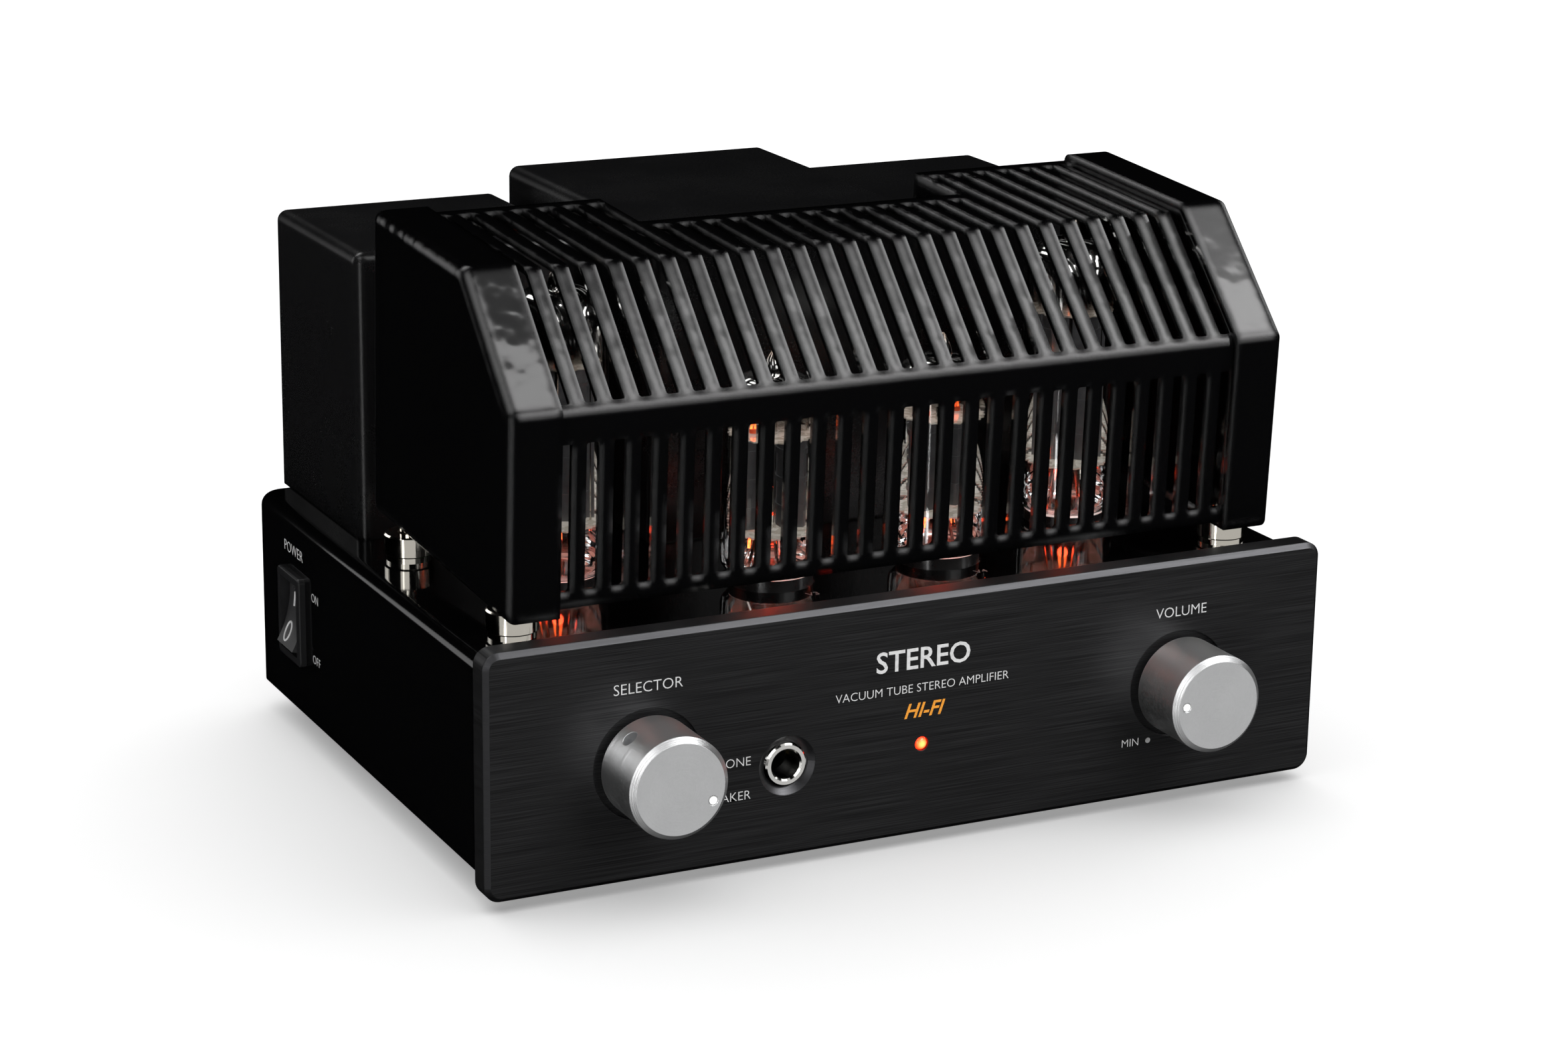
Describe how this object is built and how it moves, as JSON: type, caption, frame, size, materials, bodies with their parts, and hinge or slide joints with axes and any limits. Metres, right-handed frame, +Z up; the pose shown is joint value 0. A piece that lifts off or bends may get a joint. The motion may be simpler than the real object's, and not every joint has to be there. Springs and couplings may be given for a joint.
{
  "type": "tube amplifier",
  "caption": "Compact black valve amplifier with a slotted tube cage, square transformer covers, a thick front panel and two turned metal knobs.",
  "frame": {"origin": "on the floor under the centre of the bounding box", "axes": "+X to the right seen from the front, -Y towards the front panel and knobs, +Z up"},
  "size_m": [0.202, 0.1814, 0.1305],
  "materials": {
    "panel_black": "satin",
    "chassis_black": "gloss",
    "cover_black": "satin",
    "cage_black": "gloss",
    "knob_silver": "satin",
    "nickel": "gloss",
    "steel": "satin",
    "bright_brass": "gloss",
    "clear_glass": "gloss",
    "tube_metal": "matt",
    "ceramic": "gloss",
    "black_plastic": "matt",
    "rocker_plastic": "satin",
    "red_plastic": "gloss",
    "lamp_lens": "gloss",
    "foot_rubber": "matt",
    "board_green": "satin",
    "core_steel": "matt",
    "coil_wrap": "satin"
  },
  "bodies": {
    "amplifier": {"board_pillars": "steel", "bottom_plate": "chassis_black", "bottom_screws": "steel", "cage_posts": "nickel", "chassis_shell": "chassis_black", "circuit_board": "board_green", "control_nuts": "steel", "filter_capacitors": "black_plastic", "foot_screws": "steel", "front_panel": "panel_black", "headphone_body": "black_plastic", "headphone_bushing": "nickel", "headphone_contacts": "bright_brass", "inlet_pins": "steel", "lamp_holder": "black_plastic", "left_output_cover": "cover_black", "mains_inlet": "black_plastic", "phono_centres": "black_plastic", "phono_shells": "nickel", "post_nuts": "steel", "power_lamp": "lamp_lens", "power_transformer_cover": "cover_black", "power_tube_electrodes": "tube_metal", "power_tube_glass": "clear_glass", "rear_plate": "chassis_black", "rear_screws": "steel", "right_output_cover": "cover_black", "rubber_feet": "foot_rubber", "selector_switch": "black_plastic", "small_tube_electrodes": "tube_metal", "small_tube_glass": "clear_glass", "socket_saddles": "steel", "speaker_collars": "black_plastic", "speaker_stems": "bright_brass", "switch_frame": "black_plastic", "switch_tabs": "steel", "transformer_coils": "coil_wrap", "transformer_cores": "core_steel", "tube_pins": "steel", "tube_sockets": "ceramic", "volume_pot": "steel"},
    "selector": {"selector_knob": "knob_silver", "selector_grub_screw": "nickel", "selector_shaft": "steel"},
    "volume": {"volume_knob": "knob_silver", "volume_grub_screw": "nickel", "volume_shaft": "steel"},
    "rocker": {"power_rocker": "rocker_plastic"},
    "cage": {"cage_left_cheek": "cage_black", "cage_right_cheek": "cage_black", "cage_grille": "cage_black", "cage_pins": "nickel"},
    "drawer": {"fuse_drawer": "black_plastic", "mains_fuse": "clear_glass"},
    "cap_1": {"speaker_cap_1": "black_plastic"},
    "cap_2": {"speaker_cap_2": "red_plastic"},
    "cap_3": {"speaker_cap_3": "black_plastic"},
    "cap_4": {"speaker_cap_4": "black_plastic"},
    "cap_5": {"speaker_cap_5": "red_plastic"},
    "cap_6": {"speaker_cap_6": "black_plastic"}
  },
  "joints": [
    {"name": "selector_turn", "type": "hinge", "parent": "amplifier", "child": "selector", "pos_m": [-0.064, -0.0743, 0.0278], "axis": [0, -1, 0], "range_deg": [0, 30]},
    {"name": "volume_turn", "type": "hinge", "parent": "amplifier", "child": "volume", "pos_m": [0.064, -0.0743, 0.0278], "axis": [0, -1, 0], "range_deg": [-236, 64]},
    {"name": "power_switch", "type": "hinge", "parent": "amplifier", "child": "rocker", "pos_m": [-0.0971, 0.0447, 0.0297], "axis": [0, -1, 0], "range_deg": [0, 24]},
    {"name": "cage_lift", "type": "slide", "parent": "amplifier", "child": "cage", "axis": [0, 0, 1], "range_m": [0, 0.09]},
    {"name": "fuse_drawer_slide", "type": "slide", "parent": "amplifier", "child": "drawer", "axis": [0, 1, 0], "range_m": [0, 0.021]},
    {"name": "speaker_cap_1_turn", "type": "hinge", "parent": "amplifier", "child": "cap_1", "pos_m": [-0.037, 0.0907, 0.0324], "axis": [0, 1, 0], "range_deg": [0, 720]},
    {"name": "speaker_cap_2_turn", "type": "hinge", "parent": "amplifier", "child": "cap_2", "pos_m": [-0.023, 0.0907, 0.0324], "axis": [0, 1, 0], "range_deg": [0, 720]},
    {"name": "speaker_cap_3_turn", "type": "hinge", "parent": "amplifier", "child": "cap_3", "pos_m": [-0.009, 0.0907, 0.0324], "axis": [0, 1, 0], "range_deg": [0, 720]},
    {"name": "speaker_cap_4_turn", "type": "hinge", "parent": "amplifier", "child": "cap_4", "pos_m": [0.009, 0.0907, 0.0324], "axis": [0, 1, 0], "range_deg": [0, 720]},
    {"name": "speaker_cap_5_turn", "type": "hinge", "parent": "amplifier", "child": "cap_5", "pos_m": [0.023, 0.0907, 0.0324], "axis": [0, 1, 0], "range_deg": [0, 720]},
    {"name": "speaker_cap_6_turn", "type": "hinge", "parent": "amplifier", "child": "cap_6", "pos_m": [0.037, 0.0907, 0.0324], "axis": [0, 1, 0], "range_deg": [0, 720]}
  ]
}
